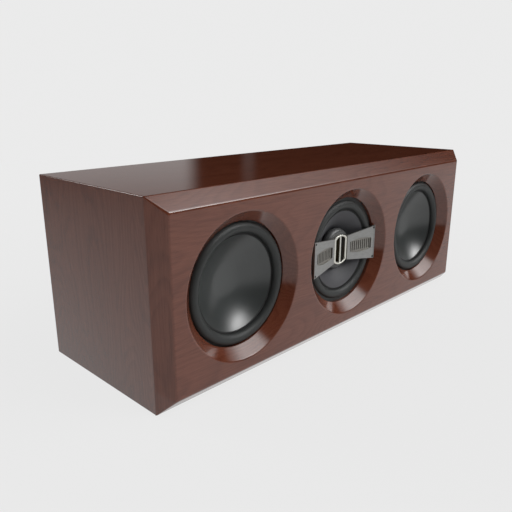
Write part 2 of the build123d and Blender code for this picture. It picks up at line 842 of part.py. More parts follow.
def crossover_capacitors():
    can = fillet(Cylinder(capacitor_radius, capacitor_length, rotation=(0, 90, 0)).edges(), capacitor_edge)
    x = board_width / 2 - capacitor_length / 2 - coil_gap
    middle = board_front + board_depth / 2
    row = (capacitor_count - 1) / 2
    return [Pos(x, middle + capacitor_pitch * (k - row), board_top + capacitor_radius) * can
            for k in range(capacitor_count)]


def lead(points):
    """Round lead along straight runs with bent corners."""
    path = FilletPolyline(*points, radius=lead_bend)
    return sweep(Plane(path @ 0, z_dir=path % 0) * Circle(lead_radius), path)


def speaker_leads():
    """Leads from the posts down to the board, and from the board to each driver's frame."""
    low = board_top + lead_radius + lead_gap
    tail = tub_front - post_tail - lead_gap
    drop = tail - 2 * lead_bend
    cup_z = cabinet_height / 2
    posts = [[(x, tail, cup_z), (x, drop, cup_z), (x, drop, low)] for x in (-post_pitch / 2, post_pitch / 2)]
    reach = max(basket_floor_radius, magnet_radius) + lead_radius + lead_gap
    frame = motor_depth - basket_floor_thickness / 2
    start = board_front + coil_gap
    centre = [(0, start, low), (0, start, driver_height - reach), (0, frame, driver_height - reach)]
    sides = []
    for side in (-1, 1):
        board_x = side * (board_width / 2 - coil_gap / 2)
        frame_x = side * (driver_pitch - sqrt(reach ** 2 - lead_drop ** 2))
        frame_z = driver_height - lead_drop
        sides.append([(board_x, lead_hole_depth, low), (board_x, lead_hole_depth, lead_hole_height),
                      (frame_x, lead_hole_depth, lead_hole_height), (frame_x, lead_hole_depth, frame_z),
                      (frame_x, frame, frame_z)])
    return [lead(points) for points in [*posts, centre, *sides]]


def write(name, solids):
    """Write one piece, or a group of like pieces, over the origin."""
    group = solids if isinstance(solids, list) else [solids]
    shape = Compound([solid for piece in group for solid in piece.solids()])
    export_step(Pos(0, -cabinet_depth / 2, 0) * shape, f"parts/{name}.step")


def main():
    os.makedirs("parts", exist_ok=True)
    write("front_baffle", front_baffle())
    for name, panel in carcass_panels().items():
        write(name, panel)
    write("rear_panel", rear_panel())
    for side, word in ((-1, "left"), (1, "right")):
        write(f"{word}_partition", partition(side))
        write(f"{word}_wadding", side_wadding(side))
    write("centre_wadding", centre_wadding())

    for driver in drivers:
        pieces = {
            "basket": basket(driver), "top_plate": top_plate(), "magnet": magnet(), "yoke": yoke(),
            "surround": surround(driver), "cone": cone(driver), "dust_cap": dust_cap(driver),
            "voice_coil": voice_coil(driver), "spider": spider(),
        }
        for piece, solid in pieces.items():
            write(f"{driver.name}_{piece}", placed(solid, driver))
    write("driver_screws", driver_screws())

    write("bridge_plate", placed(bridge_plate(), midrange))
    write("bridge_screws", bridge_screws())
    write("tweeter_bezel", placed(tweeter_bezel(), midrange))
    write("tweeter_housing", placed(tweeter_housing(), midrange))
    write("tweeter_magnet", placed(tweeter_magnet(), midrange))
    write("tweeter_diaphragm", placed(tweeter_diaphragm(), midrange))

    write("terminal_cup", terminal_cup())
    write("cup_screws", cup_screws())
    write("post_nuts", [at_post(post_nut(), side) for side in (-1, 1)])
    for side, colour in ((-1, "black"), (1, "red")):
        write(f"{colour}_post", at_post(post_stud(), side))
        write(f"{colour}_washer", at_post(clamp_washer(), side))
        write(f"{colour}_knob", at_post(thumb_knob(), side))

    write("crossover_board", crossover_board())
    write("board_standoffs", board_standoffs())
    write("bass_inductor", bass_inductor())
    write("treble_inductor", treble_inductor())
    write("crossover_capacitors", crossover_capacitors())
    write("speaker_leads", speaker_leads())


main()
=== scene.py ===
"""Looks of the center channel loudspeaker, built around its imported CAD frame.

Metres, +Z up, the baffle faces -Y. Profiles are (radius, depth) pairs in millimetres, with depths
counted back from the front face of the baffle.
"""

import json
import math

import bmesh
import bpy
import numpy as np
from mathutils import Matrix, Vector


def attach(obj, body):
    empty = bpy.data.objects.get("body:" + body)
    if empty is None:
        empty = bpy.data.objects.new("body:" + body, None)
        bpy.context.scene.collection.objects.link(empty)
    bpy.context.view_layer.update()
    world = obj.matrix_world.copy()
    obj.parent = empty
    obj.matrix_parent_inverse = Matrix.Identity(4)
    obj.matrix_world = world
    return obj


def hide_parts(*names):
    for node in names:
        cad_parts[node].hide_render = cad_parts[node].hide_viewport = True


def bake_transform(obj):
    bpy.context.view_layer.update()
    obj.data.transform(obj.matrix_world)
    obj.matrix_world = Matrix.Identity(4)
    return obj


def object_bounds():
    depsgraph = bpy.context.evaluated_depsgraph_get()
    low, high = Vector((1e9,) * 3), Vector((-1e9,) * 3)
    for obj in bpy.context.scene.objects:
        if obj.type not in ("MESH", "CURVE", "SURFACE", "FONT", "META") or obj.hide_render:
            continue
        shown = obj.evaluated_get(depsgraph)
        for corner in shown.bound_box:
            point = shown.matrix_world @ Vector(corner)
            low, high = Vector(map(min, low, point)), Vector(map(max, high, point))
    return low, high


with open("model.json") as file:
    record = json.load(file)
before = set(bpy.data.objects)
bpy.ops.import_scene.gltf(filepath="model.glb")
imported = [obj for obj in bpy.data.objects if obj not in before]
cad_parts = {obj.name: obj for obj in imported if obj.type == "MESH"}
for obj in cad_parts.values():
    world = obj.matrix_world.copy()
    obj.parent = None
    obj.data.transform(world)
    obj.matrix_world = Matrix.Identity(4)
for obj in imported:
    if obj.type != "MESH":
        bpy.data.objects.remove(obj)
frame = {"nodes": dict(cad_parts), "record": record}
cad_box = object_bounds()

# Places in the frame, in metres

HALF_WIDTH = round(float(cad_box[1][0]), 4)
HEIGHT = round(float(cad_box[1][2]), 4)
FRONT = round(float(cad_box[0][1]), 4)
AXIS_Z = HEIGHT / 2
BEVEL = 0.015
DRIVER_PITCH = 0.190
DRIVER_X = {"left_woofer": -DRIVER_PITCH, "midrange": 0.0, "right_woofer": DRIVER_PITCH}

BRIDGE_TIP = 0.0665
BRIDGE_TIP_DEPTH = 0.0075
BRIDGE_LEAN = 0.16699
LOUVRE_SUNK = 0.0006
BRIDGE_SCREW_X = 0.0641
BRIDGE_SCREW_Z = 0.0206
BRIDGE_SCREW_HOLE = 0.00085
DRIVER_SCREWS = 6
DRIVER_SCREW_CIRCLE = 0.078
DRIVER_SCREW_HOLE = 0.0023


# Node helpers

class Nodes:
    """Short calls for building a node tree."""

    def __init__(self, tree):
        self.tree = tree
        self.tree.nodes.clear()

    def add(self, kind, **settings):
        node = self.tree.nodes.new(kind)
        for key, value in settings.items():
            setattr(node, key, value)
        return node

    def link(self, source, target):
        self.tree.links.new(source, target)

    def feed(self, socket, value):
        if isinstance(value, bpy.types.NodeSocket):
            self.link(value, socket)
        else:
            socket.default_value = value

    def math(self, operation, a, b=0.0):
        node = self.add("ShaderNodeMath", operation=operation)
        self.feed(node.inputs[0], a)
        self.feed(node.inputs[1], b)
        return node.outputs[0]

    def product(self, *factors):
        result = factors[0]
        for factor in factors[1:]:
            result = self.math("MULTIPLY", result, factor)
        return result

    def weighted(self, *pairs):
        """Sum of values, each times its weight."""
        result = self.product(*pairs[0])
        for pair in pairs[1:]:
            result = self.math("ADD", result, self.product(*pair))
        return result

    def rise(self, value, start, end):
        """Climbs smoothly from 0 at start to 1 at end."""
        node = self.add("ShaderNodeMapRange", interpolation_type="SMOOTHSTEP")
        self.feed(node.inputs["Value"], value)
        self.feed(node.inputs["From Min"], start)
        self.feed(node.inputs["From Max"], end)
        return node.outputs[0]

    def window(self, value, lower, upper):
        """1 between two soft edges, each given as where it is 0 and where it is 1."""
        return self.product(self.rise(value, *lower), self.rise(value, *upper))

    def mirrored_rays(self):
        """The light path, and whether a ray comes off a mirroring surface or through a clear one."""
        rays = self.add("ShaderNodeLightPath").outputs
        return rays, self.math("MAXIMUM", rays["Is Glossy Ray"], rays["Is Transmission Ray"])


class Graph(Nodes):
    """Short calls for building one material's nodes."""

    def __init__(self, name):
        self.material = bpy.data.materials.new(name)
        self.material.use_nodes = True
        super().__init__(self.material.node_tree)
        self.shader = self.add("ShaderNodeBsdfPrincipled")
        self.output = self.add("ShaderNodeOutputMaterial")
        self.link(self.shader.outputs[0], self.output.inputs[0])

    def set(self, **values):
        """Constant values on the shader's own sockets."""
        for name, value in values.items():
            self.shader.inputs[name.replace("_", " ")].default_value = value

    def position(self):
        return self.add("ShaderNodeTexCoord").outputs["Object"]

    def split(self, vector):
        node = self.add("ShaderNodeSeparateXYZ")
        self.link(vector, node.inputs[0])
        return node.outputs

    def join(self, x, y, z):
        node = self.add("ShaderNodeCombineXYZ")
        for socket, value in zip(node.inputs, (x, y, z)):
            self.feed(socket, value)
        return node.outputs[0]

    def stretch(self, vector, scale):
        node = self.add("ShaderNodeMapping")
        self.link(vector, node.inputs["Vector"])
        node.inputs["Scale"].default_value = scale
        return node.outputs[0]

    def noise(self, vector, scale, detail=2.0, roughness=0.5, distortion=0.0):
        node = self.add("ShaderNodeTexNoise")
        self.link(vector, node.inputs["Vector"])
        node.inputs["Scale"].default_value = scale
        node.inputs["Detail"].default_value = detail
        node.inputs["Roughness"].default_value = roughness
        node.inputs["Distortion"].default_value = distortion
        return node.outputs["Fac"]

    def streaks(self, vector, scale, **settings):
        """Noise with its own scale along each axis."""
        return self.noise(self.stretch(vector, scale), 1.0, **settings)

    def ramp(self, value, *stops):
        node = self.add("ShaderNodeValToRGB")
        self.feed(node.inputs[0], value)
        elements = node.color_ramp.elements
        while len(elements) < len(stops):
            elements.new(0.5)
        for element, (place, colour) in zip(elements, stops):
            element.position = place
            element.color = (*colour, 1.0)
        return node.outputs[0]

    def grey_ramp(self, value, *stops):
        return self.ramp(value, *[(place, (grey, grey, grey)) for place, grey in stops])

    def mix(self, factor, a, b, blend="MIX"):
        node = self.add("ShaderNodeMix", data_type="RGBA", blend_type=blend)
        self.feed(node.inputs[0], factor)
        for socket, value in ((node.inputs[6], a), (node.inputs[7], b)):
            self.feed(socket, (*value, 1.0) if isinstance(value, tuple) else value)
        return node.outputs[2]

    def mix_vector(self, factor, a, b):
        node = self.add("ShaderNodeMix", data_type="VECTOR")
        self.feed(node.inputs[0], factor)
        self.link(a, node.inputs[4])
        self.link(b, node.inputs[5])
        return node.outputs[1]

    def bump(self, height, strength, distance):
        node = self.add("ShaderNodeBump")
        node.inputs["Strength"].default_value = strength
        node.inputs["Distance"].default_value = distance
        self.link(height, node.inputs["Height"])
        self.link(node.outputs[0], self.shader.inputs["Normal"])

    def colour(self, value):
        self.link(value, self.shader.inputs["Base Color"])

    def rough(self, value):
        self.link(value, self.shader.inputs["Roughness"])


def shade(colour, factor):
    """A colour made darker or lighter."""
    return tuple(min(1.0, channel * factor) for channel in colour)


# Materials

def grain_vector(graph, along):
    """Coordinates whose first axis runs along the grain."""
    place = graph.position()
    if along == "x":
        return place
    x, y, z = graph.split(place)
    upright = graph.join(z, y, x)
    if along == "z":
        return upright
    edge = graph.math("SUBTRACT", HALF_WIDTH, graph.math("ABSOLUTE", x))
    rim = graph.math("MINIMUM", z, graph.math("SUBTRACT", HEIGHT, z))
    on_bevel = graph.math("LESS_THAN", edge, BEVEL)
    outside = graph.math("LESS_THAN", edge, rim)
    return graph.mix_vector(graph.math("MULTIPLY", on_bevel, outside), place, upright)


def veneer(name, along, shift=0.0):
    """Dark red-brown veneer with fine streaks and a slow figure, under clear gloss lacquer."""
    ring_count = 22.0
    fibre_share, figure_share, broad_share = 0.46, 0.095, 0.16
    dark_wood, wood, pale_wood = (0.096, 0.0240, 0.0120), (0.150, 0.0430, 0.0230), (0.196, 0.0610, 0.0340)
    graph = Graph(name)
    grain = grain_vector(graph, along)
    if shift:
        node = graph.add("ShaderNodeVectorMath", operation="ADD")
        graph.link(grain, node.inputs[0])
        node.inputs[1].default_value = (shift, shift, shift)
        grain = node.outputs[0]
    slow = graph.streaks(grain, (3.4, 16.0, 16.0), detail=1.0, distortion=0.4)
    rings = graph.math("FRACT", graph.math("MULTIPLY", slow, ring_count))
    figure = graph.grey_ramp(rings, (0.0, 0.0), (0.45, 0.9), (0.8, 1.0), (0.93, 0.25), (1.0, 0.0))
    fibre = graph.streaks(grain, (24.0, 900.0, 900.0), detail=3.0, roughness=0.6)
    pores = graph.streaks(grain, (80.0, 2000.0, 2000.0), detail=2.0)
    broad = graph.streaks(grain, (3.0, 22.0, 22.0), detail=2.0)
    tone = graph.weighted((fibre, fibre_share), (figure, figure_share), (broad, broad_share))
    stain = graph.ramp(tone, (0.17, dark_wood), (0.36, wood), (0.55, pale_wood))
    pitted = graph.grey_ramp(pores, (0.30, 0.66), (0.42, 1.0))
    graph.colour(graph.mix(1.0, stain, pitted, "MULTIPLY"))
    graph.bump(pores, strength=0.08, distance=0.0002)
    graph.set(Roughness=0.5, Specular_IOR_Level=0.0, Coat_Weight=1.0, Coat_Roughness=0.13, Coat_IOR=1.65)
    return graph.material


def stained(name, colour, roughness):
    """Dark stained board: open grain along its length under a thin satin finish."""
    grain_share, band_share = 0.75, 0.25
    graph = Graph(name)
    place = graph.position()
    grain = graph.streaks(place, (7.0, 260.0, 260.0), detail=4.0, roughness=0.6, distortion=0.3)
    bands = graph.streaks(place, (2.0, 30.0, 30.0), detail=2.0)
    tone = graph.weighted((grain, grain_share), (bands, band_share))
    graph.colour(graph.ramp(tone, (0.36, shade(colour, 0.45)), (0.5, colour), (0.64, shade(colour, 1.7))))
    graph.rough(graph.grey_ramp(grain, (0.35, roughness * 1.3), (0.6, roughness)))
    graph.bump(grain, strength=0.25, distance=0.0003)
    return graph.material


def speckled(name, colour, roughness, scale=900.0, depth=0.25):
    """Moulded or coated surface: a base colour with a fine mottle and a fine bump."""
    graph = Graph(name)
    place = graph.position()
    fine = graph.noise(place, scale, detail=3.0)
    cloud = graph.noise(place, 24.0, detail=3.0)
    graph.colour(graph.ramp(cloud, (0.3, shade(colour, 0.86)), (0.7, shade(colour, 1.12))))
    graph.rough(graph.grey_ramp(cloud, (0.3, roughness * 0.92), (0.7, min(1.0, roughness * 1.1))))
    graph.bump(fine, strength=depth, distance=0.0001)
    return graph.material


def brushed(name, colour, roughness, along=(8.0, 700.0, 700.0)):
    """Metal with fine parallel brushing."""
    graph = Graph(name)
    lines = graph.streaks(graph.position(), along, detail=3.0)
    graph.colour(graph.ramp(lines, (0.3, shade(colour, 0.9)), (0.7, shade(colour, 1.08))))
    graph.rough(graph.grey_ramp(lines, (0.3, roughness * 0.85), (0.7, roughness * 1.2)))
    graph.bump(lines, strength=0.06, distance=0.00008)
    graph.set(Metallic=1.0)
    return graph.material


def bridge_metal(name):
    """Satin plate whose sunk louvre panels and edges are rougher and warmer than its face, and painted
    darker as the shade that falls in its recesses.
    """
    graph = Graph(name)
    place = graph.position()
    x, y, _ = graph.split(place)
    face = graph.math("MULTIPLY_ADD", graph.math("ABSOLUTE", x), -BRIDGE_LEAN)
    face.node.inputs[2].default_value = FRONT + BRIDGE_TIP_DEPTH + BRIDGE_LEAN * BRIDGE_TIP
    sunk = graph.math("GREATER_THAN", graph.math("SUBTRACT", y, face), LOUVRE_SUNK)
    lines = graph.streaks(place, (8.0, 900.0, 900.0), detail=3.0)
    satin = graph.ramp(lines, (0.3, (0.34, 0.34, 0.332)), (0.7, (0.41, 0.41, 0.402)))
    speckle = graph.noise(place, 1800.0)
    # painted shade: the sunk panels and their walls take a darker colour, standing in for the shade in the
    # recesses; the warmer tint and extra roughness are the blasted finish
    blasted_and_shaded = graph.ramp(speckle, (0.3, (0.30, 0.288, 0.262)), (0.7, (0.36, 0.348, 0.32)))
    graph.colour(graph.mix(sunk, satin, blasted_and_shaded))
    graph.rough(graph.grey_ramp(sunk, (0.0, 0.36), (1.0, 0.5)))
    graph.bump(lines, strength=0.05, distance=0.00008)
    graph.set(Metallic=0.85)
    return graph.material


def diaphragm(name, colour, roughness, edge, specular):
    """Satin cone sheet, its outer edge painted near black both as the bead of glue that joins it to its
    surround and as the shade in the groove there.
    """
    glue_and_shade_colour, bead_roughness = (0.008, 0.008, 0.008), 0.7
    graph = Graph(name)
    place = graph.position()
    x, _, z = graph.split(place)
    column = graph.math("ROUND", graph.math("DIVIDE", x, DRIVER_PITCH))
    across = graph.math("SUBTRACT", x, graph.math("MULTIPLY", column, DRIVER_PITCH))
    height = graph.math("SUBTRACT", z, AXIS_Z)
    radius = graph.math("SQRT", graph.weighted((across, across), (height, height)))
    glue_and_shade = graph.math("GREATER_THAN", radius, edge)
    cloud = graph.noise(place, 24.0, detail=3.0)
    sheet = graph.ramp(cloud, (0.3, shade(colour, 0.94)), (0.7, shade(colour, 1.05)))
    # painted shade: the ring outside the edge radius is near black, partly the glue bead and partly the
    # shade in the groove under the surround's roll
    graph.colour(graph.mix(glue_and_shade, sheet, glue_and_shade_colour))
    graph.rough(graph.grey_ramp(glue_and_shade, (0.0, roughness), (1.0, bead_roughness)))
    graph.bump(graph.noise(place, 1500.0, detail=3.0), strength=0.015, distance=0.0001)
    graph.set(Specular_IOR_Level=specular)
    return graph.material


def fibrous(name, colour, scale):
    """Wadding or cloth: tangled fibres with soft shade between them."""
    graph = Graph(name)
    place = graph.position()
    tangle = graph.noise(place, scale, detail=6.0, roughness=0.7, distortion=1.5)
    graph.colour(graph.ramp(tangle, (0.3, shade(colour, 0.55)), (0.65, colour)))
    graph.bump(tangle, strength=0.7, distance=0.001)
    graph.set(Roughness=0.95)
    return graph.material


materials = {
    "baffle": veneer("veneer_baffle", "baffle"),
    "long": veneer("veneer_long", "x", 0.37),
    "upright": veneer("veneer_upright", "z", 0.83),
    "rear_board": stained("black_stain", (0.022, 0.020, 0.019), 0.42),
    "inner_board": speckled("bare_fibreboard", (0.40, 0.27, 0.16), 0.85, scale=600.0, depth=0.5),
    "wadding": fibrous("polyester_wadding", (0.78, 0.77, 0.74), 180.0),
    "steel": brushed("zinc_steel", (0.52, 0.52, 0.51), 0.35),
    "cast_alloy": speckled("black_cast_alloy", (0.035, 0.035, 0.037), 0.45, scale=700.0, depth=0.4),
    "ferrite": speckled("ferrite", (0.045, 0.045, 0.048), 0.7, scale=1200.0, depth=0.35),
    "rubber": speckled("surround_rubber", (0.036, 0.039, 0.038), 0.50, scale=2200.0, depth=0.10),
    "cone": diaphragm("cone_sheet", (0.048, 0.053, 0.052), 0.28, edge=0.0538, specular=0.9),
    "midrange_cone": diaphragm("midrange_sheet", (0.074, 0.074, 0.081), 0.55, edge=0.0516, specular=0.5),
    "spider_cloth": fibrous("spider_cloth", (0.5, 0.36, 0.14), 900.0),
    "copper": brushed("copper_winding", (0.62, 0.28, 0.14), 0.3, along=(700.0, 60.0, 700.0)),
    "bridge_alloy": bridge_metal("bridge_satin"),
    "pod_plastic": speckled("pod_plastic", (0.10, 0.102, 0.102), 0.33, scale=1500.0, depth=0.05),
    "dark_screw": brushed("dark_screw", (0.03, 0.03, 0.03), 0.4, along=(300.0, 300.0, 300.0)),
    "gold_trim": brushed("pale_gold", (0.98, 0.96, 0.86), 0.40, along=(300.0, 300.0, 300.0)),
    "film": brushed("pleated_film", (0.10, 0.085, 0.055), 0.35, along=(900.0, 900.0, 20.0)),
    "cup_plastic": speckled("cup_plastic", (0.018, 0.018, 0.018), 0.55, scale=1400.0, depth=0.5),
    "brass_post": brushed("gold_plate", (0.86, 0.62, 0.24), 0.22, along=(500.0, 90.0, 500.0)),
    "red_knob_plastic": speckled("red_plastic", (0.46, 0.012, 0.012), 0.25, scale=500.0, depth=0.05),
    "black_knob_plastic": speckled("black_plastic", (0.014, 0.014, 0.014), 0.25, scale=500.0, depth=0.05),
    "board": speckled("board_laminate", (0.05, 0.12, 0.05), 0.5, scale=1100.0, depth=0.2),
    "capacitor_plastic": speckled("capacitor_wrap", (0.72, 0.55, 0.08), 0.3, scale=300.0, depth=0.05),
    "lead_plastic": speckled("lead_jacket", (0.02, 0.02, 0.02), 0.45, scale=900.0, depth=0.1),
}
special = {"front_baffle": "baffle", "top_panel": "long", "bottom_panel": "long", "left_panel": "upright",
           "right_panel": "upright", "midrange_cone": "midrange_cone", "midrange_dust_cap": "midrange_cone",
           "bridge_screws": "dark_screw"}
slots = {row["node"]: row["material_slot"] for row in frame["record"]["subparts"]}


def dress(obj, material):
    """One material over a whole object."""
    if not obj.material_slots:
        obj.data.materials.append(material)
    for slot in obj.material_slots:
        slot.material = material


for node, obj in frame["nodes"].items():
    dress(obj, materials[special.get(node, slots[node])])


# Mesh helpers

def arc(start, through, end, count):
    """Points of the circle through three (radius, depth) points, from the first to the last."""
    (ax, ay), (bx, by), (cx, cy) = start, through, end
    d = 2 * (ax * (by - cy) + bx * (cy - ay) + cx * (ay - by))
    a, b, c = ax * ax + ay * ay, bx * bx + by * by, cx * cx + cy * cy
    mx = (a * (by - cy) + b * (cy - ay) + c * (ay - by)) / d
    my = (a * (cx - bx) + b * (ax - cx) + c * (bx - ax)) / d
    radius = math.hypot(ax - mx, ay - my)
    first, middle, last = (math.atan2(y - my, x - mx) for x, y in (start, through, end))
    sweep = (last - first) % (2 * math.pi)
    if (middle - first) % (2 * math.pi) > sweep:
        sweep -= 2 * math.pi
    angles = [first + sweep * k / count for k in range(count + 1)]
    return [(mx + radius * math.cos(angle), my + radius * math.sin(angle)) for angle in angles]


def welded(mesh, reach=1e-7):
    """Joins the mesh's doubled points and turns its faces outwards."""
    shell = bmesh.new()
    shell.from_mesh(mesh)
    bmesh.ops.remove_doubles(shell, verts=shell.verts, dist=reach)
    bmesh.ops.recalc_face_normals(shell, faces=shell.faces)
    shell.to_mesh(mesh)
    shell.free()


def smoothed(mesh, crease=35.0):
    """Smooth shading, but for edges that turn by more than the crease's degrees."""
    mesh.shade_smooth()
    mesh.set_sharp_from_angle(angle=math.radians(crease))


def placed(name, mesh):
    """A new object of the scene."""
    obj = bpy.data.objects.new(name, mesh)
    bpy.context.collection.objects.link(obj)
    return obj


def ring(name, loops):
    """Closed ring through a closed row of sections with equal numbers of points."""
    sections, count = len(loops), len(loops[0])
    faces = []
    for k in range(sections):
        here, after = k * count, (k + 1) % sections * count
        for i in range(count):
            j = (i + 1) % count
            faces.append((here + i, here + j, after + j, after + i))
    mesh = bpy.data.meshes.new(name)
    mesh.from_pydata([point for loop in loops for point in loop], [], faces)
    mesh.validate()
    welded(mesh)
    smoothed(mesh)
    return placed(name, mesh)


def lathe(name, profile, centre_x, segments=192):
    """Closed (radius, depth) profile in millimetres, turned about a driver's axis."""
    loops = []
    for k in range(segments):
        turn = 2 * math.pi * k / segments
        loops.append([(centre_x + radius * math.cos(turn) / 1000, FRONT + depth / 1000,
                       AXIS_Z + radius * math.sin(turn) / 1000) for radius, depth in profile])
    return ring(name, loops)


def settled(obj):
    """Works the modifiers of an object into its mesh."""
    bpy.context.view_layer.update()
    mesh = bpy.data.meshes.new_from_object(obj.evaluated_get(bpy.context.evaluated_depsgraph_get()))
    obj.modifiers.clear()
    obj.data = mesh


def subtract(obj, cutter):
    """Takes one closed object away from another, and the cutter out of the scene."""
    cut = obj.modifiers.new("cut", "BOOLEAN")
    cut.operation = "DIFFERENCE"
    cut.object = cutter
    cut.solver = "EXACT"
    settled(obj)
    bpy.data.objects.remove(cutter)


def drilled(obj, holes, sides=24):
    """Cuts round holes along Y, given as (x, z, radius, first y, last y)."""
    points, faces = [], []
    for x, z, radius, start, end in holes:
        base = len(points)
        for y in (start, end):
            for k in range(sides):
                turn = 2 * math.pi * k / sides
                points.append((x + radius * math.cos(turn), y, z + radius * math.sin(turn)))
        faces.append(tuple(base + k for k in range(sides)))
        faces.append(tuple(base + sides + k for k in reversed(range(sides))))
        for k in range(sides):
            j = (k + 1) % sides
            faces.append((base + j, base + k, base + sides + k, base + sides + j))
    mesh = bpy.data.meshes.new("drill")
    mesh.from_pydata(points, [], faces)
    welded(mesh)
    subtract(obj, placed("drill", mesh))


def closed_volume(mesh):
    """Volume of a mesh, or nothing where it is not closed."""
    shell = bmesh.new()
    shell.from_mesh(mesh)
    closed = all(len(edge.link_faces) == 2 for edge in shell.edges)
    volume = shell.calc_volume() if closed else None
    shell.free()
    return volume


# Soft suspension, which bends between the cabinet and each diaphragm, in millimetres

SEAT = 16.5
THROAT = 70.0
BASKET = 82.5

RIM_THICK = 1.5
ROLL_WALL = 1.0
RING_STEP = 0.9
RING_WIDTH = 1.6
DRILL_AHEAD, DRILL_PAST = 3.0, 6.0

CONE_RIM, CONE_NECK, CONE_BULGE = (54.3, SEAT), (19.0, 34.6), 2.1
CAP_RIM, CAP_DEPTH = 22.0, 36.3
CAP_THICK, CAP_FEATHER, CAP_PROUD = 0.6, 0.01, 0.03


def flexing(obj):
    """Bakes the piece's placing in the world into its own mesh."""
    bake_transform(obj)


def screw_holes(driver):
    """Holes in a surround's rim for the driver's screws, and for the bridge's on the midrange."""
    start, end = FRONT + (SEAT - DRILL_AHEAD) / 1000, FRONT + (SEAT + DRILL_PAST) / 1000
    holes = []
    for k in range(DRIVER_SCREWS):
        turn = 2 * math.pi * k / DRIVER_SCREWS
        x = DRIVER_X[driver] + DRIVER_SCREW_CIRCLE * math.cos(turn)
        z = AXIS_Z + DRIVER_SCREW_CIRCLE * math.sin(turn)
        holes.append((x, z, DRIVER_SCREW_HOLE, start, end))
    if driver == "midrange":
        for side_x in (-1, 1):
            for side_z in (-1, 1):
                x, z = side_x * BRIDGE_SCREW_X, AXIS_Z + side_z * BRIDGE_SCREW_Z
                holes.append((x, z, BRIDGE_SCREW_HOLE, start, end))
    return holes


def surround(driver, roll_inner, roll_outer, roll_height):
    """Half-roll rubber surround with its rim under the flange and its ring behind the cone's lip."""
    ring_front = SEAT + RING_STEP
    ring_back = ring_front + ROLL_WALL
    ring_inner = roll_inner - RING_WIDTH
    rim_back = SEAT + RIM_THICK
    middle = (roll_inner + roll_outer) / 2
    crest = SEAT - roll_height
    profile = [(ring_inner, ring_front)]
    profile += arc((roll_inner, ring_front), (middle, crest), (roll_outer, SEAT), 30)
    profile += [(THROAT, SEAT), (BASKET, SEAT), (BASKET, rim_back), (THROAT, rim_back)]
    profile += arc((roll_outer - ROLL_WALL, rim_back), (middle, crest + ROLL_WALL),
                   (roll_inner + ROLL_WALL, ring_back), 24)
    profile += [(ring_inner, ring_back)]
    obj = lathe(f"{driver}_surround_roll", profile, DRIVER_X[driver])
    drilled(obj, screw_holes(driver))
    dress(obj, materials["rubber"])
    flexing(obj)
    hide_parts(f"{driver}_surround")


def spider(driver):
    """The corrugated cloth disc, as the frame has it, copied with its cloth material."""
    node = f"{driver}_spider"
    obj = placed(f"{node}_cloth", frame["nodes"][node].data.copy())
    dress(obj, materials["spider_cloth"])
    flexing(obj)
    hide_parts(node)


def woofer_cap(driver):
    """Dished dust cap that carries on the slope of the cone's face, its rim feathered into it."""
    length = math.hypot(CONE_RIM[0] - CONE_NECK[0], CONE_RIM[1] - CONE_NECK[1])
    across = ((CONE_NECK[1] - CONE_RIM[1]) / length, (CONE_RIM[0] - CONE_NECK[0]) / length)
    middle = tuple((CONE_RIM[k] + CONE_NECK[k]) / 2 + CONE_BULGE * across[k] for k in range(2))
    line = np.array(arc(CONE_NECK, middle, CONE_RIM, 200))
    low, high = np.interp((CAP_RIM - 0.5, CAP_RIM + 0.5), line[:, 0], line[:, 1])
    drop = CAP_DEPTH - (low + high) / 2 + CAP_PROUD
    quartic = (low - high) * CAP_RIM / 2 - drop
    radii = np.linspace(0.0, CAP_RIM, 46)
    share = radii / CAP_RIM
    front = CAP_DEPTH - (drop - quartic) * share ** 2 - quartic * share ** 4
    face = np.interp(radii, line[:, 0], line[:, 1])
    feathered = np.clip(face - front - CAP_FEATHER, CAP_FEATHER, CAP_THICK)
    thick = np.where(radii < CONE_NECK[0], CAP_THICK, feathered)
    profile = list(zip(radii, front)) + list(zip(radii[::-1], (front + thick)[::-1]))
    obj = lathe(f"{driver}_cap_dish", profile, DRIVER_X[driver], 128)
    dress(obj, materials["cone"])
    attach(obj, f"{driver}_diaphragm")
    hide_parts(f"{driver}_dust_cap")


woofer_cap("left_woofer")
woofer_cap("right_woofer")
for driver, roll in {"left_woofer": (56.5, 68.5, 6.8), "midrange": (54.2, 65.9, 4.2),
                     "right_woofer": (56.5, 68.5, 6.8)}.items():
    surround(driver, *roll)
    spider(driver)


# Eased edges of the baffle, in millimetres

MOUTH = 82.5
FLARE_DEPTH = 12.5
SKIN = 0.08
PROUD = 0.012
OUTER_ROUND, FACE_ROUND, LIP_ROUND = 2.0, 4.5, 3.5
OUTER_CORNER, MITRE_ROUND = 1.2, 2.4
CORNER_RUN = 4.0
CORNER_STEPS = 6
CLEAR = 1.5
FRONT_SLACK, SIDE_SLACK = 1.0, 2.0
SLOPE = math.sqrt(0.5)
HALF_CORNER = 67.5
BAFFLE_WELD = 1e-6
BAFFLE_CREASE = 20.0
LEAST_KEPT = 0.92


def rolled(corner, first, second, radius, count=9):
    """Arc that rounds a corner of 135 degrees between two directions, just proud of both."""
    corner, first, second = (np.array(pair, float) for pair in (corner, first, second))
    inward = (first + second) / np.linalg.norm(first + second)
    middle = corner + inward * (radius / math.sin(math.radians(HALF_CORNER)) - PROUD)
    outs = [inward @ along * along - inward for along in (first, second)]
    start, end = (math.atan2(out[1], out[0]) for out in outs)
    sweep = (end - start + math.pi) % (2 * math.pi) - math.pi
    turns = [start + sweep * k / count for k in range(count + 1)]
    return [tuple(middle + radius * np.array((math.cos(turn), math.sin(turn)))) for turn in turns]


